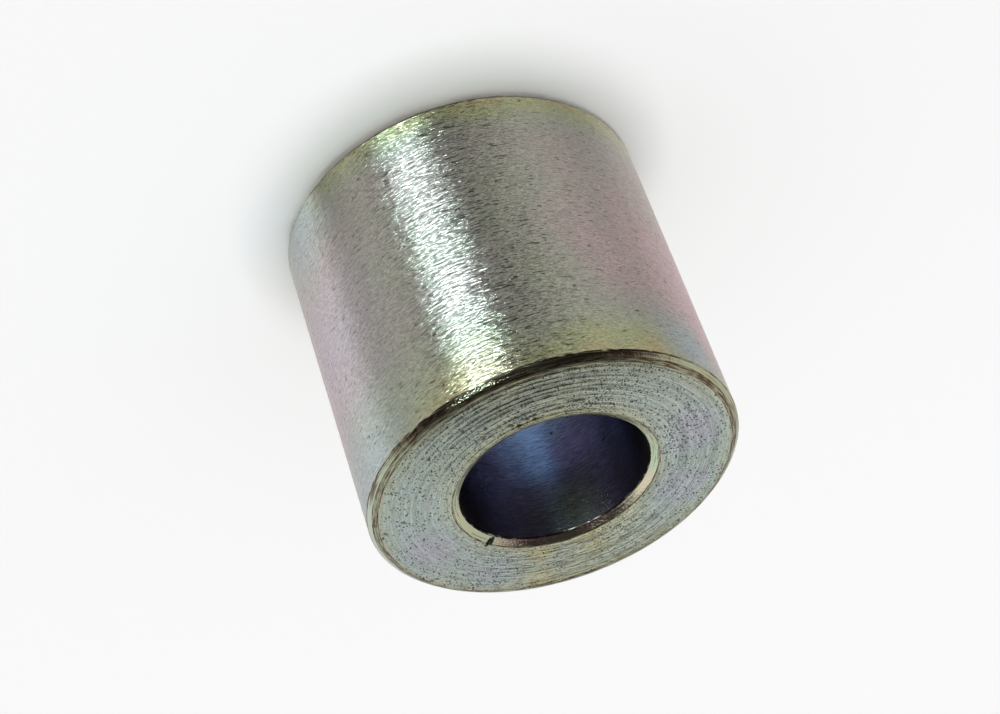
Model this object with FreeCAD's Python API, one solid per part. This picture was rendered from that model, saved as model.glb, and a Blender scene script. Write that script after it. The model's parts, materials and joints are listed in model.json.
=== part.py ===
import FreeCAD, Part
import math
import os

# Spacer sleeve, turned from bar in one piece. Millimetres and degrees.
# The sleeve stands on its lower end face, with the bore's axis on +Z and the origin on that face.

# Driving dimensions
OUTER_DIAMETER = 16.0
BORE_DIAMETER = 8.2
LENGTH = 14.8

# Edge break on the outside of each end, measured along the radius, and its slope from the end face
EDGE_BREAK_WIDTH = 0.28
EDGE_BREAK_SLOPE = 45.0

# Countersink at each mouth of the bore, measured along the radius, and its full cone angle
COUNTERSINK_WIDTH = 0.36
COUNTERSINK_CONE_ANGLE = 120.0


def edge_break_depth():
    """Height of the outer edge break along the axis."""
    return EDGE_BREAK_WIDTH * math.tan(math.radians(EDGE_BREAK_SLOPE))


def countersink_depth():
    """Depth of the bore's countersink along the axis."""
    return COUNTERSINK_WIDTH / math.tan(math.radians(COUNTERSINK_CONE_ANGLE / 2))


def end_profile(face_z, inward):
    """One end of the section, from the bore's wall to the outer wall, as points of radius and height.

    inward is +1 at the lower end and -1 at the upper end.
    """
    bore_radius = BORE_DIAMETER / 2
    outer_radius = OUTER_DIAMETER / 2
    return [
        (bore_radius, face_z + inward * countersink_depth()),
        (bore_radius + COUNTERSINK_WIDTH, face_z),
        (outer_radius - EDGE_BREAK_WIDTH, face_z),
        (outer_radius, face_z + inward * edge_break_depth()),
    ]


def sleeve():
    """The turned section, taken once round the bore's axis."""
    lower_end = end_profile(0.0, 1)
    upper_end = end_profile(LENGTH, -1)
    outline = lower_end + upper_end[::-1]
    corners = [FreeCAD.Vector(radius, 0, height) for radius, height in outline]
    section = Part.Face(Part.makePolygon(corners + corners[:1]))
    return section.revolve(FreeCAD.Vector(0, 0, 0), FreeCAD.Vector(0, 0, 1), 360)


os.makedirs("parts", exist_ok=True)
sleeve().exportStep("parts/sleeve.step")
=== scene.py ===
import json
import math
import random
from collections import namedtuple

import bpy
from mathutils import Matrix, Vector

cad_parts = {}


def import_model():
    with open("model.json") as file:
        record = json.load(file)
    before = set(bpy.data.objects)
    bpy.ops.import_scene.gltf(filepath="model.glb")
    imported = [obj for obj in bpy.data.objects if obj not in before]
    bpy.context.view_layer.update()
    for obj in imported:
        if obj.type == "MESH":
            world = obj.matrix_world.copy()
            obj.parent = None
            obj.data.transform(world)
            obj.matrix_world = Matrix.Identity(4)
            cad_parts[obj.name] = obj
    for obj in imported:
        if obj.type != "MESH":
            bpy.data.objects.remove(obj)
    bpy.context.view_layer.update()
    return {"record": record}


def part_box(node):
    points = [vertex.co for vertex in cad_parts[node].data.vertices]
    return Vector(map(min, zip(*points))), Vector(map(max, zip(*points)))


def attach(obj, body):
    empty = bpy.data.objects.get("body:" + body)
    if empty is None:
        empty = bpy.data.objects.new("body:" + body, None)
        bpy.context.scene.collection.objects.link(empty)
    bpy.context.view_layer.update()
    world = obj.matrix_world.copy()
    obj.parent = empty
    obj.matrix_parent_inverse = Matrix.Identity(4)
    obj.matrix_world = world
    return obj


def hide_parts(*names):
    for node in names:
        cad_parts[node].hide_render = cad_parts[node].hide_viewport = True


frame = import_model()

MM = 0.001
WHITE = (1, 1, 1)
BLACK = (0, 0, 0)

# Sizes of the turned body in millimetres, from the frame
low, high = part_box("sleeve")
LENGTH = (high.z - low.z) / MM
OUTER_RADIUS = high.x / MM
BORE = next(mount for mount in frame["record"]["mounts"] if mount["name"] == "bore")
BORE_RADIUS = BORE["dims"]["r_mm"]
SINK_HALF_ANGLE = 60
SINK_DEPTH = (LENGTH - BORE["dims"]["length_mm"]) / 2
SINK_WIDTH = SINK_DEPTH * math.tan(math.radians(SINK_HALF_ANGLE))
EDGE_BREAK = 0.28
FACE_IN = BORE_RADIUS + SINK_WIDTH
FACE_OUT = OUTER_RADIUS - EDGE_BREAK

# Length of the section that a corner's rounding takes up on each side of it. The corner between
# an end face and its edge break is the worn one.
CORNER = 0.045
WORN_CORNER = 0.15

# Waves round the body: the range of their starts in radians
WAVE_STARTS = (0, 6.28)

# Ripple of the edge breaks: its depth, and its number of waves with their counts and sizes
RIPPLE_DEPTH = 0.012
RIPPLE_WAVES = 9
RIPPLE_COUNTS = (9, 120)
RIPPLE_SIZES = (0.1, 0.3)

# Facing grooves on both ends: pitch and depth, the rings of the mesh across each groove,
# and how the widths, depths and waves of the grooves vary
GROOVE_PITCH = 0.284
GROOVE_DEPTH = 0.044
GROOVE_SHARES = (0.0, 0.14, 0.4, 0.7, 0.86)
GROOVE_WIDTHS = (0.82, 1.18)
GROOVE_DEPTHS = (0.45, 1.15)
GROOVE_WAVES = 7
GROOVE_COUNTS = (2, 60)
GROOVE_SIZES = (0.04, 0.16)
GROOVE_SHALLOWEST = 0.1

# Divisions of the body's mesh, and the least gap between a groove's ring and a corner
TURN_STEPS = 576
WALL_STEPS = 6
BORE_STEPS = 4
EDGE_STEPS = 3
CORNER_STEPS = 3
RING_GAP = 0.02

# Seeds of the random draws
UPPER_SEED = 3
LOWER_SEED = 8
RIPPLE_SEED = 5

ZONES = ("wall", "end_face", "edge_break", "countersink", "bore", "corner")

# Camera at the photograph's viewing angle, on the -Y side, looking down on the end face
CAMERA_AIM = Vector((0.466, 0.0, 7.77)) * MM
CAMERA_PLACE = Vector((0.0, -87.12, 72.44)) * MM
CAMERA_ROLL = math.radians(-160.32)
CAMERA_LENS_MM = 91.15


def on_body(angle, radius, height):
    """A point on the body in millimetres, at an angle in degrees from the camera's side."""
    a = math.radians(angle)
    return Vector((radius * math.sin(a), -radius * math.cos(a), height))


def on_wall(angle, height):
    return on_body(angle, OUTER_RADIUS, height)


def on_face(angle, radius):
    return on_body(angle, radius, LENGTH)


def on_bore(angle, height):
    return on_body(angle, BORE_RADIUS, height)


# Shape of the body


def smooth_step(value):
    t = min(max(value, 0.0), 1.0)
    return t * t * (3 - 2 * t)


def rounded(before, corner, after, size=CORNER):
    """Points of a small rounding at a corner of the section, between the points before and after it."""
    start = corner + (before - corner).normalized() * size
    end = corner + (after - corner).normalized() * size
    points = []
    for i in range(CORNER_STEPS):
        t = i / CORNER_STEPS
        points.append(start * (1 - t) ** 2 + corner * 2 * t * (1 - t) + end * t ** 2)
    return points, end


def straight(start, end, steps):
    return [start.lerp(end, i / steps) for i in range(steps)]


def draw_waves(draw, number, counts, sizes):
    """Waves round the body, each with its count, its start in radians and its size."""
    return [(draw.randint(*counts), draw.uniform(*WAVE_STARTS), draw.uniform(*sizes)) for _ in range(number)]


def wave_level(waves, angle):
    return sum(size * math.sin(count * angle + start) for count, start, size in waves)


class Grooves:
    """Depth of the facing cut below the end face. Each groove has its own width, depth and waves."""

    def __init__(self, seed):
        draw = random.Random(seed)
        count = round((FACE_OUT - FACE_IN) / GROOVE_PITCH)
        widths = [draw.uniform(*GROOVE_WIDTHS) for _ in range(count)]
        scale = (FACE_OUT - FACE_IN) / sum(widths)
        self.rows = []
        edge = FACE_IN
        for width in widths:
            depth = GROOVE_DEPTH * draw.uniform(*GROOVE_DEPTHS)
            waves = draw_waves(draw, GROOVE_WAVES, GROOVE_COUNTS, GROOVE_SIZES)
            self.rows.append((edge, width * scale, depth, waves))
            edge += width * scale

    def rings(self):
        """Radius of each ring of the mesh with its groove and its place across the groove."""
        found = []
        for number, (edge, width, _, _) in enumerate(self.rows):
            for share in GROOVE_SHARES:
                found.append((edge + width * share, number, share))
        return found

    def depth(self, number, share, angle):
        _, _, depth, waves = self.rows[number]
        wave = 1 + wave_level(waves, angle)
        return depth * max(wave, GROOVE_SHALLOWEST) * (1 - share / GROOVE_SHARES[-1])


def ripple(waves, angle):
    """Depth of a cut edge's ripple below its even surface, at an angle in radians."""
    return RIPPLE_DEPTH * min(max(0.5 + wave_level(waves, angle), 0.0), 1.0)


def plain(points, zone):
    """Steps of the section that no groove crosses."""
    return [(point, zone, None, 0) for point in points]


def end_section(grooves):
    """Section of one end, from the bore to the wall, as (point, zone, groove, share) with height above 0."""
    bore_wall = Vector((BORE_RADIUS, -SINK_DEPTH - 1))
    bore_edge = Vector((BORE_RADIUS, -SINK_DEPTH))
    sink_edge = Vector((FACE_IN, 0))
    face_edge = Vector((FACE_OUT, 0))
    wall_edge = Vector((OUTER_RADIUS, -EDGE_BREAK))
    wall = Vector((OUTER_RADIUS, -EDGE_BREAK - 1))
    bore_arc, sink_start = rounded(bore_wall, bore_edge, sink_edge)
    sink_arc, face_start = rounded(bore_edge, sink_edge, face_edge)
    face_arc, break_start = rounded(sink_edge, face_edge, wall_edge, WORN_CORNER)
    wall_arc, _ = rounded(face_edge, wall_edge, wall)
    steps = plain(bore_arc, "corner")
    steps += plain(straight(sink_start, sink_arc[0], EDGE_STEPS), "countersink")
    steps += plain(sink_arc, "corner")
    steps += plain([face_start], "end_face")
    for radius, number, share in grooves.rings():
        if face_start.x + RING_GAP < radius < face_arc[0].x - RING_GAP:
            steps.append((Vector((radius, 0)), "end_face", number, share))
    steps += plain(face_arc, "corner")
    steps += plain(straight(break_start, wall_arc[0], EDGE_STEPS), "edge_break")
    steps += plain(wall_arc, "corner")
    return steps


# One ring of the body's mesh. The zone is that of the faces to the next ring, and the side is
# +1 at the upper end, -1 at the lower end and 0 between them.
Ring = namedtuple("Ring", "radius height zone grooves groove share side")


def section(upper, lower):
    """The body's whole section as one closed loop of rings."""
    bottom = end_section(lower)
    loop = []
    for point, zone, groove, share in end_section(upper):
        loop.append(Ring(point.x, LENGTH + point.y, zone, upper, groove, share, 1))
    wall_top = LENGTH - EDGE_BREAK - CORNER
    wall_low = EDGE_BREAK + CORNER
    for i in range(WALL_STEPS + 1):
        height = wall_top + (wall_low - wall_top) * i / WALL_STEPS
        loop.append(Ring(OUTER_RADIUS, height, "wall" if i < WALL_STEPS else "corner", None, None, 0, 0))
    for i in range(len(bottom) - 1, -1, -1):
        point, _, groove, share = bottom[i]
        zone = bottom[i - 1][1] if i else "bore"
        loop.append(Ring(point.x, -point.y, zone, lower, groove, share, -1))
    bore_low = SINK_DEPTH + CORNER
    bore_top = LENGTH - SINK_DEPTH - CORNER
    for i in range(1, BORE_STEPS):
        height = bore_low + (bore_top - bore_low) * i / BORE_STEPS
        loop.append(Ring(BORE_RADIUS, height, "bore", None, None, 0, 0))
    return loop


class Mark:
    """A nick, notch or pit: an oval hollow at a point, with its length turned by a slant from the tangent."""

    # Farthest that a mark reaches, and where its hollow ends as a share of its half length or width
    REACH = 1
    END = 1.25

    def __init__(self, angle, radius, length, width, depth, slant=0.0, push=(0, -1)):
        self.centre = on_face(angle, radius)
        outward = on_body(angle, 1, 0)
        tangent = Vector((-outward.y, outward.x, 0))
        turn = math.radians(slant)
        self.along = tangent * math.cos(turn) + outward * math.sin(turn)
        self.across = outward * math.cos(turn) - tangent * math.sin(turn)
        self.length = length / 2
        self.width = width / 2
        self.depth = depth
        self.push = outward * push[0] + Vector((0, 0, push[1]))

    def strength(self, point):
        offset = point - self.centre
        if max(abs(offset.x), abs(offset.y), abs(offset.z)) > self.REACH:
            return 0.0
        far = math.hypot(offset.dot(self.along) / self.length, offset.dot(self.across) / self.width)
        return smooth_step(self.END - far)


# Marks on the upper end: angle, radius, length, width, depth and slant. Those on the rim are
# pressed inwards as well as down.
RIM = (-0.7, -0.7)
MARKS = (
    Mark(34.2, 7.93, 0.5, 0.16, 0.02, 12, RIM),
    Mark(27.5, 7.95, 0.4, 0.14, 0.02, -10, RIM),
    Mark(126.5, 4.43, 0.5, 0.24, 0.13, 105),
    Mark(10.5, 4.95, 0.16, 0.12, 0.05),
    Mark(7.5, 4.74, 0.2, 0.1, 0.05, 15),
    Mark(3.0, 5.0, 0.14, 0.12, 0.05),
    Mark(-0.5, 4.78, 0.24, 0.1, 0.05, -10),
    Mark(81.2, 6.52, 0.12, 0.26, 0.04, 20),
    Mark(85.2, 7.35, 0.2, 0.24, 0.05, 35),
    Mark(26.5, 6.3, 0.12, 0.2, 0.04),
    Mark(19.9, 5.63, 0.18, 0.16, 0.05),
    Mark(15.1, 5.28, 0.2, 0.14, 0.05),
    Mark(24.5, 5.16, 0.18, 0.14, 0.05),
    Mark(-100.0, 7.75, 0.3, 0.14, 0.05, 10, RIM),
)


def ring_point(ring, angle, waves):
    """A point of a ring in millimetres, with its groove or ripple, at an angle in radians."""
    height = ring.height
    if ring.groove is not None:
        height -= ring.side * ring.grooves.depth(ring.groove, ring.share, angle)
    elif ring.zone == "edge_break":
        height -= ring.side * ripple(waves, angle)
    return Vector((ring.radius * math.sin(angle), -ring.radius * math.cos(angle), height))


def marked(point):
    """The point with the marks pressed into it, and how worn it is there, from 0 to 1."""
    wear = 0.0
    for mark in MARKS:
        strength = mark.strength(point)
        if strength > 0:
            point = point + mark.push * mark.depth * strength
            wear = max(wear, strength)
    return point, wear


def turned_body():
    """The whole sleeve as one lathe mesh, closed both ways round."""
    loop = section(Grooves(UPPER_SEED), Grooves(LOWER_SEED))
    waves = draw_waves(random.Random(RIPPLE_SEED), RIPPLE_WAVES, RIPPLE_COUNTS, RIPPLE_SIZES)
    count = len(loop)
    points = []
    wear = []
    faces = []
    zones = []
    for turn in range(TURN_STEPS):
        angle = 2 * math.pi * turn / TURN_STEPS
        here = turn * count
        after = (turn + 1) % TURN_STEPS * count
        for i, ring in enumerate(loop):
            point = ring_point(ring, angle, waves)
            worn = 0.0
            if ring.side > 0:
                point, worn = marked(point)
            points.append(point * MM)
            wear.append(worn)
            j = (i + 1) % count
            faces.append((here + j, here + i, after + i, after + j))
            zones.append(ZONES.index(ring.zone))
    mesh = bpy.data.meshes.new("turned_sleeve")
    mesh.from_pydata(points, [], faces)
    mesh.polygons.foreach_set("material_index", zones)
    mesh.polygons.foreach_set("use_smooth", [True] * len(faces))
    mesh.attributes.new("wear", "FLOAT", "POINT").data.foreach_set("value", wear)
    mesh.update()
    sharpen(mesh)
    return placed("turned_sleeve", mesh)


def sharpen(mesh):
    """Marks the edges between zones as sharp."""
    zone_of = {}
    for face in mesh.polygons:
        for key in face.edge_keys:
            zone_of.setdefault(key, set()).add(face.material_index)
    for edge in mesh.edges:
        edge.use_edge_sharp = len(zone_of[edge.key]) > 1


def placed(name, data):
    """A new object in the scene."""
    item = bpy.data.objects.new(name, data)
    bpy.context.scene.collection.objects.link(item)
    return item


# Materials


def fill_ramp(node, stops):
    """Sets a colour ramp's stops, each a position and a colour, in rising order."""
    elements = node.color_ramp.elements
    for element, (position, colour) in zip(elements, (stops[0], stops[-1])):
        element.position = position
        element.color = (*colour, 1)
    for position, colour in stops[1:-1]:
        elements.new(position).color = (*colour, 1)


class Graph:
    """A metal's node tree. The calls take numbers or sockets and give back sockets."""

    # Quarter turn of the highlight, so that it stretches along the body's axis
    HIGHLIGHT_TURN = 0.25
    # Radius of a spot's full strength, as a share of its size
    SPOT_CORE = 0.4

    def __init__(self, name, roughness, anisotropic, grazing_tint=WHITE):
        self.material = bpy.data.materials.new(name)
        self.material.use_nodes = True
        self.nodes = self.material.node_tree.nodes
        self.links = self.material.node_tree.links
        self.shader = self.nodes["Principled BSDF"]
        self.shader.inputs["Metallic"].default_value = 1.0
        self.shader.inputs["Anisotropic"].default_value = anisotropic
        self.shader.inputs["Anisotropic Rotation"].default_value = self.HIGHLIGHT_TURN
        self.shader.inputs["Specular Tint"].default_value = (*grazing_tint, 1)
        self.rough(roughness)
        place = self.nodes.new("ShaderNodeTexCoord").outputs["Object"]
        self.place = self.scaled(place, (1 / MM, 1 / MM, 1 / MM))
        split = self.nodes.new("ShaderNodeSeparateXYZ")
        self.put(split.inputs[0], self.place)
        self.x, self.y, self.z = split.outputs
        across = self.maths("MULTIPLY", self.x, self.x)
        self.radius = self.maths("SQRT", self.maths("MULTIPLY_ADD", self.y, self.y, across))

    def put(self, socket, value):
        if isinstance(value, bpy.types.NodeSocket):
            self.links.new(value, socket)
        elif socket.type == "RGBA":
            socket.default_value = (*value, 1)
        else:
            socket.default_value = value

    def maths(self, operation, *values):
        node = self.nodes.new("ShaderNodeMath")
        node.operation = operation
        for socket, value in zip(node.inputs, values):
            self.put(socket, value)
        return node.outputs[0]

    def total(self, first, *others):
        for value in others:
            first = self.maths("ADD", first, value)
        return first

    def product(self, first, *others):
        for value in others:
            first = self.maths("MULTIPLY", first, value)
        return first

    def most(self, first, *others):
        """The greatest of some values."""
        for value in others:
            first = self.maths("MAXIMUM", first, value)
        return first

    def plus(self, base, value, share):
        """The base with a share of the value added."""
        return self.maths("MULTIPLY_ADD", value, share, base)

    def vector(self, operation, *values):
        node = self.nodes.new("ShaderNodeVectorMath")
        node.operation = operation
        for socket, value in zip(node.inputs, values):
            self.put(socket, value)
        return node

    def scaled(self, vector, factors):
        return self.vector("MULTIPLY", vector, factors).outputs[0]

    def shaded(self, colour, level):
        """The colour times a level, which may be above 1."""
        node = self.vector("SCALE", colour)
        self.put(node.inputs["Scale"], level)
        return node.outputs[0]

    def span(self, value, start, end, bottom=0.0, top=1.0):
        """The value's smooth rise between start and end, taken to between bottom and top."""
        node = self.nodes.new("ShaderNodeMapRange")
        node.interpolation_type = "SMOOTHSTEP"
        for socket, item in zip(node.inputs, (value, start, end, bottom, top)):
            self.put(socket, item)
        return node.outputs[0]

    def noise(self, vector, detail=2.0, roughness=0.5):
        """Noise about 0, between -0.5 and 0.5."""
        node = self.nodes.new("ShaderNodeTexNoise")
        node.inputs["Scale"].default_value = 1.0
        node.inputs["Detail"].default_value = detail
        node.inputs["Roughness"].default_value = roughness
        self.put(node.inputs["Vector"], vector)
        return self.maths("SUBTRACT", node.outputs["Fac"], 0.5)

    def grains(self, cell):
        """Place for noise with cells of the given size in millimetres, or sizes along x, y and z."""
        sizes = cell if isinstance(cell, tuple) else (cell, cell, cell)
        return self.scaled(self.place, [1 / size for size in sizes])

    def turned(self, length, width, middle):
        """Place for noise that runs round with the cut, in cells of length by width at the middle radius."""
        node = self.nodes.new("ShaderNodeCombineXYZ")
        for socket, part in zip(node.inputs, (self.x, self.y)):
            self.put(socket, self.maths("MULTIPLY", self.maths("DIVIDE", part, self.radius), middle / length))
        self.put(node.inputs[2], self.maths("DIVIDE", self.radius, width))
        return node.outputs[0]

    def along(self, angle):
        """Distance in millimetres along the tangent at an angle, from the plane through the axis there."""
        a = math.radians(angle)
        return self.vector("DOT_PRODUCT", self.place, (math.cos(a), math.sin(a), 0)).outputs["Value"]

    def blob(self, centre, reach):
        """1 at a point and 0 beyond its reach, in millimetres."""
        return self.span(self.vector("DISTANCE", self.place, centre).outputs["Value"], reach, 0.0)

    def specks(self, centres, reach):
        """1 at each of some points and 0 beyond their reach, in millimetres."""
        return self.most(0.0, *[self.blob(centre, reach) for centre in centres])

    def patched(self, value, patches):
        """The value with the change of each patch, a (point, reach, change), added round its point."""
        for centre, reach, change in patches:
            value = self.plus(value, self.blob(centre, reach), change)
        return value

    def stained(self, colour, patches, stain, strength):
        """The colour with a stain blended in round the point of each patch, a (point, reach)."""
        for centre, reach in patches:
            colour = self.blend(self.product(self.blob(centre, reach), strength), colour, stain)
        return colour

    def spots(self, size, core, share):
        """Small round spots, 1 inside, in a share of the cells of the given size."""
        node = self.nodes.new("ShaderNodeTexVoronoi")
        node.inputs["Scale"].default_value = 1.0
        self.put(node.inputs["Vector"], self.grains(size))
        chosen = self.nodes.new("ShaderNodeSeparateColor")
        self.put(chosen.inputs[0], node.outputs["Color"])
        inside = self.span(node.outputs["Distance"], core, core * self.SPOT_CORE)
        return self.product(inside, self.maths("LESS_THAN", chosen.outputs[0], share))

    def wear(self):
        node = self.nodes.new("ShaderNodeAttribute")
        node.attribute_name = "wear"
        return node.outputs["Fac"]

    def blend(self, factor, first, second):
        node = self.nodes.new("ShaderNodeMix")
        node.data_type = "RGBA"
        self.put(node.inputs[0], factor)
        self.put(node.inputs[6], first)
        self.put(node.inputs[7], second)
        return node.outputs[2]

    def ramp(self, value, stops):
        node = self.nodes.new("ShaderNodeValToRGB")
        fill_ramp(node, stops)
        self.put(node.inputs[0], value)
        return node.outputs[0]

    def brushed(self, tilt):
        """The surface's direction, turned round the body's axis by a small tilt in radians."""
        normal = self.nodes.new("ShaderNodeNewGeometry").outputs["Normal"]
        sideways = self.vector("CROSS_PRODUCT", (0, 0, 1), normal).outputs[0]
        tilted = self.vector("ADD", normal, self.shaded(sideways, tilt)).outputs[0]
        return self.vector("NORMALIZE", tilted).outputs[0]

    def bump(self, height, normal=None):
        """Relief from a height in millimetres, on the surface's own direction or a brushed one."""
        node = self.nodes.new("ShaderNodeBump")
        if normal is not None:
            self.put(node.inputs["Normal"], normal)
        node.inputs["Strength"].default_value = 1.0
        node.inputs["Distance"].default_value = MM
        self.put(node.inputs["Height"], height)
        self.put(self.shader.inputs["Normal"], node.outputs[0])

    def rough(self, roughness):
        self.put(self.shader.inputs["Roughness"], roughness)

    def finish(self, colour):
        self.put(self.shader.inputs["Base Color"], colour)
        return self.material


# Colours of the passivation film, from thin to thick, and its stains
GOLD = (0.48, 0.41, 0.23)
OLIVE = (0.415, 0.43, 0.25)
SAGE = (0.39, 0.405, 0.31)
GREY = (0.395, 0.38, 0.33)
MAUVE = (0.425, 0.37, 0.335)
ROSE = (0.50, 0.38, 0.375)
TEAL = (0.345, 0.415, 0.42)
LILAC = (0.415, 0.385, 0.42)
AMBER = (0.5, 0.39, 0.24)
BROWN = (0.09, 0.055, 0.03)
SOOT = (0.03, 0.028, 0.02)
NEAR_BLACK = (0.02, 0.014, 0.01)

# Wall: its film by thickness, the reach of the thin film from each end, and patches of other
# thickness or colour, each a point, a reach in millimetres and, for the film, a change
WALL_FILM = ((0.0, GOLD), (0.16, OLIVE), (0.4, SAGE), (0.6, GREY), (0.78, MAUVE), (1.0, ROSE))
WALL_GRAZING_TINT = (1.0, 0.92, 0.93)
UPPER_FADE = 4.6
LOWER_FADE = 2.6
WALL_PATCHES = (
    (on_wall(-66, 9.0), 6.5, 0.42),
    (on_wall(-70, 13.4), 3.6, 0.5),
    (on_wall(-32, 8.0), 3.4, 0.1),
    (on_wall(26, 7.0), 3.4, -0.2),
    (on_wall(76, 8.0), 4.5, 0.3),
    (on_wall(165, 8.5), 6.5, 0.35),
    (on_wall(-17, 10.0), 3.0, -0.12),
    (on_wall(-15, 5.0), 3.0, -0.12),
    (on_wall(8, 14.8), 2.6, 0.22),
)
LILAC_PATCHES = ((on_wall(62, 7.4), 6.4),)
TEAL_PATCHES = (
    (on_wall(56, 14.2), 5.2),
    (on_wall(75, 14.0), 4.0),
    (on_wall(60, 0.6), 4.4),
    (on_wall(-60, 13.6), 2.6),
)
AMBER_PATCHES = ((on_wall(10, LENGTH), 3.0),)
WALL_SPOTS = (on_wall(54, 12.8), on_wall(57, 9.4))
WALL_SPOT_REACH = 0.12

# Cells of the wall's noises. The marks are short round the body and thin along it.
WALL_CLOUD = 3.2
WALL_STREAK = (0.9, 0.9, 0.2)
WALL_DASH = (0.45, 0.45, 0.07)
WALL_FLECK = (0.28, 0.28, 0.042)
WALL_CUT = (0.34, 0.34, 0.055)
WALL_GRIT = (0.12, 0.12, 0.045)
WALL_BRUSH = (0.55, 0.55, 0.07)

# Depth of those marks as the light shows it, in millimetres, and the tilt of the brushed surface
DASH_RELIEF = 0.028
FLECK_RELIEF = 0.018
GRIT_RELIEF = 0.005
BRUSH_TILT = 0.27

# Side of the wall where the window's highlight falls, where the marks get painted shade as more contrast
# and more dark cuts: its angle, the distances from its middle where that begins and is full, and the place
# along Y where it is full
HIGHLIGHT_SIDE = 1
HIGHLIGHT_FROM = 4.4
HIGHLIGHT_FULL = 1.2
HIGHLIGHT_NEAR = -4.0


def wall_film(g, streak):
    """The film's thickness from 0 to 1, thin at both ends of the wall."""
    cloud = g.noise(g.grains(WALL_CLOUD))
    upper = g.span(g.z, LENGTH, LENGTH - UPPER_FADE)
    lower = g.span(g.z, 0.0, LOWER_FADE)
    film = g.plus(0.08, g.maths("MINIMUM", upper, lower), 0.54)
    film = g.plus(film, cloud, 0.55)
    film = g.plus(film, streak, 0.28)
    return g.patched(film, WALL_PATCHES)


def wall_shade(g, marks):
    """How light the wall is: darker in its cuts and towards the lower end, with painted shade as more
    contrast and more dark cuts on the side where the window's highlight falls.
    """
    # Painted shade: more contrast and more dark cuts on the highlight side
    highlight_side = g.span(g.maths("ABSOLUTE", g.along(HIGHLIGHT_SIDE)), HIGHLIGHT_FROM, HIGHLIGHT_FULL)
    highlight_side = g.product(highlight_side, g.span(g.y, 0.0, HIGHLIGHT_NEAR))
    texture = g.product(marks, g.plus(0.55, highlight_side, 1.1))
    cut = g.plus(g.noise(g.grains(WALL_CUT), 0), highlight_side, -0.1)
    shade = g.span(texture, -0.45, 0.42, 0.7, 1.2)
    shade = g.product(shade, g.span(cut, -0.2, -0.3, 1.0, 0.3))
    return g.product(shade, g.span(g.z, 0.5, 6.0, 0.92, 1.0))


def wall_metal():
    """Turned wall: short dashes round the body under a film that goes from gold at the ends to rose."""
    g = Graph("wall", 0.24, 1.0, WALL_GRAZING_TINT)
    streak = g.noise(g.grains(WALL_STREAK), 3)
    dash = g.noise(g.grains(WALL_DASH), 1)
    fleck = g.noise(g.grains(WALL_FLECK), 1)
    grit = g.noise(g.grains(WALL_GRIT), 1)
    brush = g.noise(g.grains(WALL_BRUSH), 2, 0.7)
    colour = g.ramp(wall_film(g, streak), WALL_FILM)
    colour = g.stained(colour, LILAC_PATCHES, LILAC, 1.0)
    colour = g.stained(colour, TEAL_PATCHES, TEAL, 0.95)
    colour = g.stained(colour, AMBER_PATCHES, AMBER, 0.7)
    colour = g.shaded(colour, wall_shade(g, g.total(dash, fleck, grit, grit)))
    colour = g.blend(g.specks(WALL_SPOTS, WALL_SPOT_REACH), colour, BROWN)
    relief = g.plus(g.product(grit, GRIT_RELIEF), fleck, FLECK_RELIEF)
    relief = g.plus(relief, dash, DASH_RELIEF)
    g.bump(relief, g.brushed(g.product(brush, BRUSH_TILT)))
    g.rough(g.plus(0.24, streak, 0.08))
    return g.finish(colour)


# End face: its film by thickness, patches of other thickness, places with more or fewer pits,
# and places of painted light, each a point, a reach and a change
FACE_FILM = (
    (0.0, (0.44, 0.41, 0.25)),
    (0.18, (0.405, 0.42, 0.305)),
    (0.45, (0.38, 0.41, 0.34)),
    (0.7, (0.36, 0.41, 0.38)),
    (1.0, (0.385, 0.385, 0.42)),
)
FACE_PATCHES = (
    (on_face(-87, 5.9), 2.6, 0.34),
    (on_face(108, 6.1), 2.6, 0.34),
    (on_face(-128, 6.2), 2.6, 0.4),
    (on_face(140, 6.4), 2.4, 0.3),
    (on_face(161, 5.2), 1.0, -0.36),
    (on_face(162, 6.7), 1.1, -0.3),
    (on_face(-174, 5.6), 1.5, -0.3),
)
PIT_PATCHES = (
    (on_face(-85, 5.2), 2.4, 0.7),
    (on_face(-30, 4.9), 1.8, 0.6),
    (on_face(5, 4.8), 1.3, 0.5),
    (on_face(-160, 5.0), 1.8, 0.5),
    (on_face(100, 6.4), 2.4, -0.2),
)
PAINTED_LIGHT_PATCHES = ((on_face(-155, 6.0), 3.6), (on_face(-38, 4.9), 2.6))
PAINTED_LIGHT = 0.09
RIM_FILM_WIDTH = 0.9

# Noises of the end face: the middle radius of the cut, the length and width of its streaks and
# rings, and the cells of the clouds, the pits and the fine flecks
FACE_MIDDLE = 6
FACE_STREAK = (0.55, 0.1)
FACE_RING = (4.0, 0.085)
FACE_CLOUD = 1.6
FINE_PITS = 0.13
COARSE_PITS = 0.22
FACE_FLECK = 0.075

# Depth of its streaks, rings and flecks as the light shows it, and of its pits, in millimetres
STREAK_RELIEF = 0.035
FACE_RING_RELIEF = 0.02
FACE_FLECK_RELIEF = 0.025
PIT_RELIEF = -0.015

# Half length below which a mark is also a dark speck, and the reach of that speck
SMALL_MARK = 0.13
SMALL_MARK_REACH = 0.15


def face_film(g, cloud, streak):
    """The film's thickness from 0 to 1, thin at both rims of the face."""
    inner = g.maths("SUBTRACT", g.radius, FACE_IN)
    outer = g.maths("SUBTRACT", FACE_OUT, g.radius)
    film = g.span(g.maths("MINIMUM", inner, outer), 0.0, RIM_FILM_WIDTH, 0.05, 0.38)
    sideways = g.maths("DIVIDE", g.x, g.radius)
    film = g.plus(film, g.product(sideways, sideways), 0.3)
    film = g.plus(film, cloud, 0.5)
    film = g.plus(film, streak, 0.2)
    return g.patched(film, FACE_PATCHES)


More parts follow.
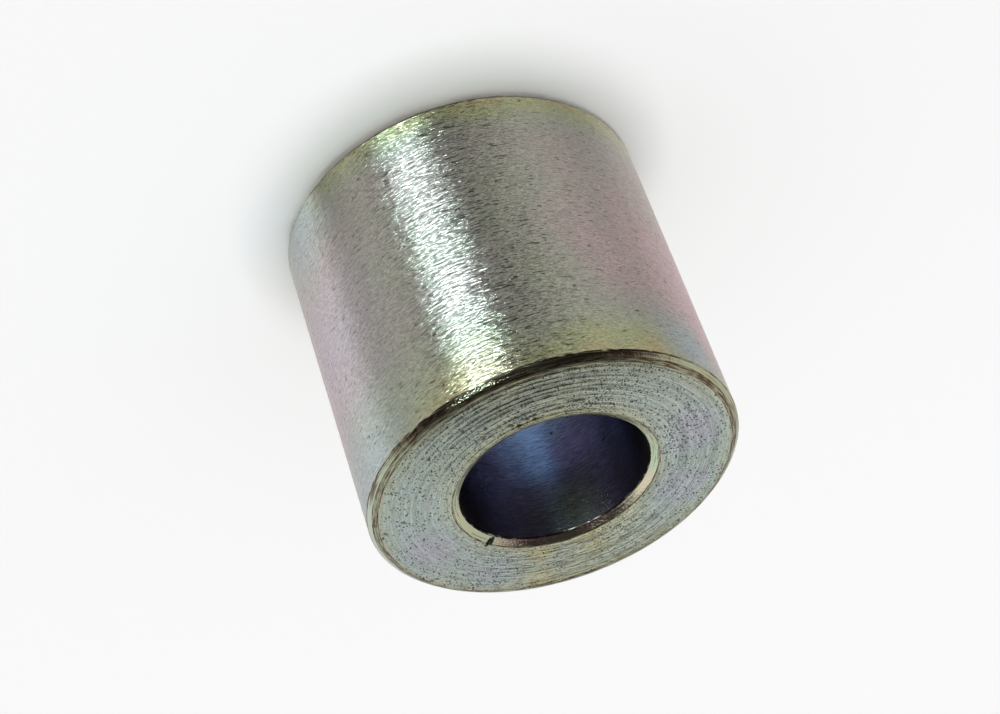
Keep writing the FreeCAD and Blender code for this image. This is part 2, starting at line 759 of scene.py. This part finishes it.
def face_shade(g, ring):
    """How light the face is: painted shade on the camera's side, painted light on the far one and in the
    patches of painted light, with fine rings.
    """
    # Painted shade on the camera's side, painted light on the far side and in the patches of painted light
    shade = g.product(g.span(g.y, -4.4, -7.8, 1.0, 0.74), g.span(g.y, 1.5, 5.2, 1.0, 1.12))
    for centre, reach in PAINTED_LIGHT_PATCHES:
        shade = g.product(shade, g.plus(1.0, g.blob(centre, reach), PAINTED_LIGHT))
    return g.product(shade, g.span(ring, -0.2, 0.2, 0.74, 1.14))


def face_dark(g, pits, fleck, streak):
    """How dark the face is from 0 to 1 in its pits, flecks, streaks and marks."""
    small = [mark.centre for mark in MARKS if mark.length < SMALL_MARK]
    return g.most(
        g.product(pits, 0.95),
        g.span(fleck, -0.1, -0.26, 0.0, 0.4),
        g.product(g.wear(), 0.8),
        g.specks(small, SMALL_MARK_REACH),
        g.span(streak, -0.08, -0.2, 0.0, 0.25),
    )


def face_metal():
    """Faced end: broken streaks round the body, pits, and a film that is yellow at both rims."""
    g = Graph("end_face", 0.26, 0.4)
    cloud = g.noise(g.grains(FACE_CLOUD))
    streak = g.noise(g.turned(*FACE_STREAK, FACE_MIDDLE), 1)
    ring = g.noise(g.turned(*FACE_RING, FACE_MIDDLE), 2, 0.6)
    ring = g.product(ring, g.span(g.x, 2.0, 6.5, 1.0, 0.45))
    fleck = g.noise(g.grains(FACE_FLECK), 1)
    crowd = g.patched(g.plus(0.34, cloud, 0.8), PIT_PATCHES)
    pits = g.most(g.spots(FINE_PITS, 0.42, crowd), g.spots(COARSE_PITS, 0.3, crowd))
    colour = g.ramp(face_film(g, cloud, streak), FACE_FILM)
    colour = g.shaded(colour, face_shade(g, ring))
    colour = g.blend(face_dark(g, pits, fleck, streak), colour, SOOT)
    relief = g.plus(g.product(fleck, FACE_FLECK_RELIEF), streak, STREAK_RELIEF)
    relief = g.plus(relief, ring, FACE_RING_RELIEF)
    g.bump(g.plus(relief, pits, PIT_RELIEF))
    return g.finish(colour)


# Edge breaks and countersinks: the film's colours, the radius of the sharp edge, the angle of the
# torn place, and the side where the film is brown, -1 for the camera's and +1 for the far one (on the edge
# break, also painted shade)
Rim = namedtuple("Rim", "name straw middle brown radius torn side")
EDGE_BREAK_RIM = Rim(
    "edge_break", (0.38, 0.36, 0.2), (0.37, 0.38, 0.25), (0.2, 0.125, 0.085), OUTER_RADIUS, 13, -1)
COUNTERSINK_RIM = Rim(
    "countersink", (0.46, 0.43, 0.26), (0.39, 0.42, 0.29), (0.5, 0.33, 0.29), BORE_RADIUS, 192, 1)
RIM_GREEN = (0.36, 0.41, 0.32)
# Paler colour towards +x on the edge break: painted light on that side
RIM_PAINTED_LIGHT = (0.46, 0.52, 0.44)
BLUSH = (0.6, 0.45, 0.31)
BLUSH_PATCHES = ((on_bore(230, LENGTH), 2.0),)

# Noises of the rims: length, width and middle radius of the fine rings, and cells of the rest
RIM_RING = (2.2, 0.06, 7)
RIM_CLOUD = 1.2
RIM_GRAIN = 0.09

# Reach of the torn place as a share of the radius, and the depths that the light shows
TORN_REACH = 0.22
RIM_RING_RELIEF = 0.02
GRAIN_RELIEF = 0.012
TORN_RELIEF = 0.01


def rim_brown_and_shade(g, rim, ring, torn):
    """How brown the rim is: on one side of the body, between the rings and near the sharp edge. On the edge
    break it is also painted shade on the camera's side, and less at the torn place as a painted highlight.
    """
    brown = g.span(g.y, rim.radius * rim.side * 0.6, rim.radius * rim.side * 0.85)
    brown = g.product(brown, g.span(ring, 0.13, 0.02, 0.35, 1.0))
    from_edge = g.maths("ABSOLUTE", g.maths("SUBTRACT", g.radius, rim.radius))
    brown = g.product(brown, g.span(from_edge, 0.27, 0.12, 0.4, 1.0))
    # Less brown at the torn place on the camera's side: bare metal, and a painted highlight where the window
    # glints
    if rim.side < 0:
        brown = g.product(brown, g.plus(1.0, torn, -0.9))
    return brown


def rim_metal(rim):
    """Edge breaks and countersinks: cuts with a straw-yellow film, fine rings and torn places that glint,
    with painted shade, painted light and a painted highlight on the edge break.
    """
    g = Graph(rim.name, 0.2, 0.4)
    cloud = g.noise(g.grains(RIM_CLOUD))
    ring = g.noise(g.turned(*RIM_RING), 2, 0.6)
    grain = g.noise(g.grains(RIM_GRAIN), 1)
    torn = g.blob(on_face(rim.torn, rim.radius), rim.radius * TORN_REACH)
    film = g.total(0.5, g.product(cloud, 0.7), g.product(ring, 0.5))
    colour = g.ramp(film, ((0.1, rim.straw), (0.55, rim.middle), (0.95, RIM_GREEN)))
    # Paler towards +x: painted light on that side of the edge break
    colour = g.blend(g.span(g.x, 5.0, 7.6), colour, RIM_PAINTED_LIGHT)
    colour = g.blend(rim_brown_and_shade(g, rim, ring, torn), colour, rim.brown)
    if rim.side > 0:
        colour = g.stained(colour, BLUSH_PATCHES, BLUSH, 1.0)
    dark = g.most(g.span(ring, -0.02, -0.2, 0.0, 0.85), g.product(g.wear(), 0.85))
    colour = g.blend(dark, colour, BROWN)
    relief = g.product(grain, g.plus(GRAIN_RELIEF, torn, TORN_RELIEF * rim.radius))
    g.bump(g.plus(relief, ring, RIM_RING_RELIEF))
    return g.finish(colour)


# Roundings: the cells of their broken lines, and their lighter colour
CORNER_LINES = (0.6, 0.04, 7)
CORNER_STRAW = (0.32, 0.31, 0.21)


def corner_metal():
    """The small roundings between the cuts, where the film has gone brown in broken lines, with painted shade
    in near black on the outer rounding on the camera's side and at the bore's mouth.
    """
    g = Graph("corner", 0.3, 0.0)
    broken = g.noise(g.turned(*CORNER_LINES), 2, 0.6)
    colour = g.ramp(g.maths("ADD", broken, 0.5), ((0.44, BROWN), (0.58, CORNER_STRAW)))
    # Painted shade: near black in broken lines on the outer rounding on the camera's side and at the bore's
    # mouth
    rim = g.product(g.span(g.radius, FACE_OUT + 0.1, OUTER_RADIUS - 0.03), g.span(g.y, -4.0, -6.5))
    mouth = g.span(g.radius, BORE_RADIUS + 0.1, BORE_RADIUS + 0.04)
    dark = g.product(g.most(rim, mouth), g.span(broken, 0.16, 0.02))
    return g.finish(g.blend(dark, colour, NEAR_BLACK))


# Bore: its film by thickness, painted lighter and bluer deeper down, the blue patch of painted light across
# its far side, its stains and spots, and painted shade at its mouth
BORE_FILM_AND_LIGHT = (
    (0.0, (0.34, 0.28, 0.3)),
    (0.35, (0.31, 0.29, 0.38)),
    (0.7, (0.4, 0.48, 0.63)),
    (1.0, (0.54, 0.7, 0.94)),
)
BLUE_LIT_SIDE = 165
VIOLET = (0.5, 0.42, 0.62)
VIOLET_PATCHES = ((on_bore(197, LENGTH - 4.0), 1.8),)
# Painted shade: dark green near the bore's mouth
MOUTH_GREEN_SHADE = (0.14, 0.145, 0.085)
MOUTH_SHADE_PATCHES = ((on_bore(182, LENGTH - 1.2), 3.0),)
BORE_SPOTS = (on_bore(187, 9.6), on_bore(218, 11.4))
BORE_SPOT_REACH = 0.14
BURR_PLACE = on_bore(190, LENGTH - 0.3)
BURR_REACH = 1.7

# Cells of the bore's noises
BORE_CLOUD = 2.0
BORE_DASH = (0.4, 0.4, 0.07)
BURR_GRAIN = 0.07


def bore_film_and_light(g):
    """The film's thickness from 0 to 1: thicker deeper down, and most in the blue patch. Thicker film is
    lighter and bluer, so this is also painted light.
    """
    cloud = g.noise(g.grains(BORE_CLOUD))
    depth = g.maths("SUBTRACT", LENGTH, g.z)
    side = g.along(BLUE_LIT_SIDE)
    patch = g.product(g.span(side, -2.0, -0.5), g.span(side, 3.2, 0.8), g.span(depth, 2.0, 3.8))
    film = g.plus(g.span(depth, 0.5, 9.0, 0.1, 0.5), cloud, 0.3)
    return g.plus(film, patch, 0.6)


def bore_metal():
    """Drilled bore with a blue and violet film deeper down, painted lighter there and in the blue patch as
    painted light, and darker at its mouth as painted shade.
    """
    g = Graph("bore", 0.22, 0.6)
    dash = g.noise(g.grains(BORE_DASH), 3, 0.6)
    grain = g.noise(g.grains(BURR_GRAIN), 0)
    colour = g.ramp(bore_film_and_light(g), BORE_FILM_AND_LIGHT)
    colour = g.stained(colour, VIOLET_PATCHES, VIOLET, 0.8)
    colour = g.stained(colour, MOUTH_SHADE_PATCHES, MOUTH_GREEN_SHADE, 0.9)
    colour = g.shaded(colour, g.span(dash, -0.22, 0.22, 0.74, 1.22))
    colour = g.blend(g.specks(BORE_SPOTS, BORE_SPOT_REACH), colour, BROWN)
    burr = g.product(g.blob(BURR_PLACE, BURR_REACH), g.span(grain, 0.16, 0.3, 0.0, 0.09))
    g.bump(g.plus(burr, dash, 0.01))
    return g.finish(colour)


# Studio

# Daylight from the windows, next to the neutral light of the room
DAYLIGHT = (0.77, 0.94, 1.0)
WINDOW_LIGHT = (0.72, 0.93, 1.0)

# Plain pale floor: half its width in millimetres and its colour
FLOOR_HALF_WIDTH = 2000
FLOOR_COLOUR = (0.93, 0.93, 0.93)

# Level of the white surroundings on the floor, and where the camera or the metal sees them
ROOM_LEVEL = 0.55
SEEN_LEVEL = 1.0

# Dark card over the sleeve: its lean to the camera's side, its distance in millimetres,
# and its level at angles from its middle, seen from the sleeve
HOOD_LEAN = 22.3
HOOD_DISTANCE = 450
HOOD_SPREAD = 3.6
HOOD_FADE = ((43, 0.045), (48, 0.08), (53, 0.3), (57, 0.6), (62, 0.85), (72, 1.0))

# Cards that the metal mirrors: corners as azimuth and elevation, distance, colour and glow
CARDS = (
    ("flag", ((-30, 0), (1, 0), (1, 24), (-30, 24)), 400, (0.04, 0.04, 0.04), 0.0),
    ("side_card", ((106, 40), (152, 10), (150, 48), (102, 65)), 200, DAYLIGHT, 1.5),
    ("back_card", ((-158, 24), (-112, 36), (-106, 62), (-158, 50)), 200, WHITE, 1.0),
)

# Painted reflection of the floor, a glowing sheet that only the metal sees: its level for each angle on the
# wall, and the mesh that carries it
FLOOR_REFLECTION_LEVELS = (
    (-90, 1.0), (-74, 0.88), (-66, 0.95), (-58, 0.8), (-50, 0.64), (-42, 0.65), (-34, 0.8), (-26, 0.81),
    (-19, 0.7), (-13, 0.65), (-7, 0.52), (0, 0.44), (16, 0.5), (22, 0.66), (28, 0.85), (34, 0.71), (40, 0.52),
    (43, 0.68), (48, 1.45), (58, 1.17), (66, 0.98), (76, 0.9), (90, 0.95),
)
FLOOR_REFLECTION_LINES = 180
FLOOR_REFLECTION_REACHES = (0, 1, 3, 8, 20, 60, 300)
FLOOR_REFLECTION_HEIGHT = 0.1
FLOOR_REFLECTION_GAP = 0.05


def square(half_width):
    corners = ((-1, -1), (1, -1), (1, 1), (-1, 1))
    return [Vector((x * half_width, y * half_width, 0)) * MM for x, y in corners]


def stage_sheet(name, points, colour, glow=0.0, faces=((0, 1, 2, 3),)):
    """A sheet of the studio through points in metres. A sheet that glows takes no light."""
    mesh = bpy.data.meshes.new(name)
    mesh.from_pydata(points, [], faces)
    material = bpy.data.materials.new(name)
    material.use_nodes = True
    shader = material.node_tree.nodes["Principled BSDF"]
    shader.inputs["Base Color"].default_value = (*(BLACK if glow else colour), 1)
    shader.inputs["Roughness"].default_value = 1.0
    shader.inputs["Specular IOR Level"].default_value = 0.0
    shader.inputs["Emission Color"].default_value = (*colour, 1)
    shader.inputs["Emission Strength"].default_value = glow
    mesh.materials.append(material)
    sheet = placed(name, mesh)
    return sheet


def only_mirrored(item):
    """Leaves a lamp or sheet to the metal's reflections alone."""
    item.visible_camera = False
    item.visible_diffuse = False
    item.visible_shadow = False
    item.visible_transmission = False


def hood():
    """A dark card over the sleeve, leaning to the camera's side, that fades to the white of the room."""
    half_width = HOOD_DISTANCE * HOOD_SPREAD
    lean = math.radians(HOOD_LEAN)
    sheet = stage_sheet("hood", square(half_width), BLACK, 1.0)
    sheet.location = Vector((0, -math.sin(lean), math.cos(lean))) * HOOD_DISTANCE * MM
    sheet.rotation_euler = (lean, 0, 0)
    nodes = sheet.data.materials[0].node_tree.nodes
    links = sheet.data.materials[0].node_tree.links
    far = nodes.new("ShaderNodeVectorMath")
    far.operation = "LENGTH"
    links.new(nodes.new("ShaderNodeTexCoord").outputs["Object"], far.inputs[0])
    share = nodes.new("ShaderNodeMath")
    share.operation = "DIVIDE"
    share.inputs[1].default_value = half_width * MM
    links.new(far.outputs["Value"], share.inputs[0])
    fade = nodes.new("ShaderNodeValToRGB")
    stops = []
    for angle, level in HOOD_FADE:
        stops.append((math.tan(math.radians(angle)) / HOOD_SPREAD, (level, level, level)))
    fill_ramp(fade, stops)
    links.new(share.outputs[0], fade.inputs[0])
    links.new(fade.outputs[0], nodes["Principled BSDF"].inputs["Emission Color"])
    only_mirrored(sheet)


def card(name, directions, distance, colour, glow):
    """A sheet with its corners at four azimuths and elevations, seen from the middle of the sleeve."""
    corners = []
    for azimuth, elevation in directions:
        rise = distance * math.tan(math.radians(elevation))
        corners.append(on_body(azimuth, distance, LENGTH / 2 + rise) * MM)
    only_mirrored(stage_sheet(name, corners, colour, glow))


def table():
    """A painted reflection of the floor: a glowing sheet that only the metal sees, in lighter and darker
    sectors as the wall mirrors it to the camera.

    Each line starts at the foot of the wall and runs the way that a ray from the camera leaves it there.
    """
    points = []
    levels = []
    camera_y = -CAMERA_PLACE.y / MM
    for i in range(FLOOR_REFLECTION_LINES + 1):
        angle = -90 + 180 * i / FLOOR_REFLECTION_LINES
        a = math.radians(angle)
        view = math.atan2(OUTER_RADIUS * math.sin(a), camera_y - OUTER_RADIUS * math.cos(a))
        ahead = on_body(math.degrees(2 * a + view), 1, 0)
        foot = on_body(angle, OUTER_RADIUS + FLOOR_REFLECTION_GAP, FLOOR_REFLECTION_HEIGHT)
        for reach in FLOOR_REFLECTION_REACHES:
            points.append((foot + ahead * reach) * MM)
            levels.append(between(angle, FLOOR_REFLECTION_LEVELS))
    faces = []
    count = len(FLOOR_REFLECTION_REACHES)
    for i in range(FLOOR_REFLECTION_LINES):
        for j in range(count - 1):
            here = i * count + j
            faces.append((here, here + 1, here + count + 1, here + count))
    sheet = stage_sheet("table", points, WHITE, 1.0, faces)
    sheet.data.attributes.new("level", "FLOAT", "POINT").data.foreach_set("value", levels)
    nodes = sheet.data.materials[0].node_tree.nodes
    level = nodes.new("ShaderNodeAttribute")
    level.attribute_name = "level"
    links = sheet.data.materials[0].node_tree.links
    links.new(level.outputs["Fac"], nodes["Principled BSDF"].inputs["Emission Strength"])
    only_mirrored(sheet)


def between(value, rows):
    """Reads rows of (place, level) at a value, in straight lines from row to row."""
    for (before, first), (after, second) in zip(rows, rows[1:]):
        if value <= after:
            return first + (second - first) * max(value - before, 0.0) / (after - before)
    return rows[-1][1]


def world():
    """White all round, for the background and for what the metal mirrors. It lights the floor by half."""
    scene_world = bpy.data.worlds.new("studio")
    bpy.context.scene.world = scene_world
    scene_world.use_nodes = True
    nodes = scene_world.node_tree.nodes
    links = scene_world.node_tree.links
    path = nodes.new("ShaderNodeLightPath")
    seen = path.outputs["Is Camera Ray"]
    for kind in ("Is Glossy Ray", "Is Transmission Ray"):
        either = nodes.new("ShaderNodeMath")
        either.operation = "MAXIMUM"
        links.new(seen, either.inputs[0])
        links.new(path.outputs[kind], either.inputs[1])
        seen = either.outputs[0]
    level = nodes.new("ShaderNodeMapRange")
    level.inputs["To Min"].default_value = ROOM_LEVEL
    level.inputs["To Max"].default_value = SEEN_LEVEL
    links.new(seen, level.inputs["Value"])
    links.new(level.outputs[0], nodes["Background"].inputs["Strength"])
    nodes["Background"].inputs["Color"].default_value = (*WHITE, 1)


def lamp(name, azimuth, elevation, distance, width, height, radiance, colour=WHITE):
    """A soft rectangular light, aimed at the middle of the sleeve. Angles in degrees, azimuth 0 is -Y."""
    data = bpy.data.lights.new(name, "AREA")
    data.shape = "RECTANGLE"
    data.size = width
    data.size_y = height
    data.color = colour
    data.energy = radiance * math.pi * width * height
    light = placed(name, data)
    a = math.radians(azimuth)
    e = math.radians(elevation)
    direction = Vector((math.sin(a) * math.cos(e), -math.cos(a) * math.cos(e), math.sin(e)))
    light.location = Vector((0, 0, LENGTH / 2 * MM)) + direction * distance
    light.rotation_euler = direction.to_track_quat("Z", "Y").to_euler()
    return light


def camera():
    """The view of the photograph, with its roll about the line of sight."""
    data = bpy.data.cameras.new("camera")
    data.lens = CAMERA_LENS_MM
    data.sensor_width = 36.0
    data.sensor_fit = "HORIZONTAL"
    data.clip_start = 0.001
    data.clip_end = 10.0
    view = placed("camera", data)
    ahead = (CAMERA_AIM - CAMERA_PLACE).normalized()
    level = ahead.cross(Vector((0, 0, 1))).normalized()
    upright = level.cross(ahead)
    up = upright * math.cos(CAMERA_ROLL) + level * math.sin(CAMERA_ROLL)
    right = ahead.cross(up)
    turn = Matrix((right, up, -ahead)).transposed()
    view.matrix_world = Matrix.Translation(CAMERA_PLACE) @ turn.to_4x4()
    bpy.context.scene.camera = view


body = turned_body()
METALS = {
    "wall": wall_metal(),
    "end_face": face_metal(),
    "edge_break": rim_metal(EDGE_BREAK_RIM),
    "countersink": rim_metal(COUNTERSINK_RIM),
    "bore": bore_metal(),
    "corner": corner_metal(),
}
for zone in ZONES:
    body.data.materials.append(METALS[zone])
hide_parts("sleeve")
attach(body, "root")

stage_sheet("floor", square(FLOOR_HALF_WIDTH), FLOOR_COLOUR)
hood()
for row in CARDS:
    card(*row)
table()

world()
window = lamp(
    "window", azimuth=17.3, elevation=11, distance=0.5, width=0.198, height=0.18, radiance=41,
    colour=WINDOW_LIGHT)
window.visible_diffuse = False
overhead = lamp("overhead", azimuth=180, elevation=84, distance=0.6, width=0.16, height=0.16, radiance=22)
overhead.visible_glossy = False
camera()

bpy.context.scene.view_settings.view_transform = "Standard"
